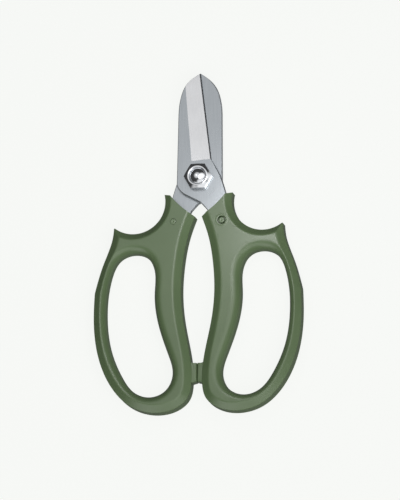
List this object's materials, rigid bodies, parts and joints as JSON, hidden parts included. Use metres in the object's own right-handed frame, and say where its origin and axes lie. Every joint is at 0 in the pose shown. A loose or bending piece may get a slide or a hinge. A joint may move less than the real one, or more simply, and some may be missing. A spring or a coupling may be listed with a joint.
{
  "type": "floral snips",
  "caption": "Floral snips: steel blades crossing at a bolt, each held in a moulded loop handle with a finger rest and a stop lug.",
  "frame": {"origin": "on the resting plane, under the middle of the closed snips' bounding box", "axes": "+Y towards the blade tips, +Z along the bolt towards its nut, +X towards the handle of the front blade"},
  "size_m": [0.1028, 0.1692, 0.0134],
  "materials": {
    "blade_steel": "lengthwise ground stainless steel with a brighter flat bevel",
    "handle_plastic": "satin moulded sage green plastic",
    "pin_plastic": "satin moulded sage green plastic",
    "polished_plating": "bright polished nickel or chrome plating",
    "spring_steel": "plain spring steel"
  },
  "bodies": {
    "left_half": {"left_handle": "handle_plastic", "back_blade": "blade_steel", "left_tang_pin": "pin_plastic", "pivot_bolt": "polished_plating", "pivot_washer": "spring_steel", "pivot_nut": "polished_plating"},
    "right_half": {"right_handle": "handle_plastic", "front_blade": "blade_steel", "right_tang_pin": "pin_plastic"}
  },
  "joints": [
    {"name": "pivot", "type": "hinge", "parent": "left_half", "child": "right_half", "pos_m": [0, 0.032, 0.0059], "axis": [0, 0, 1], "range_deg": [0, 60]}
  ]
}
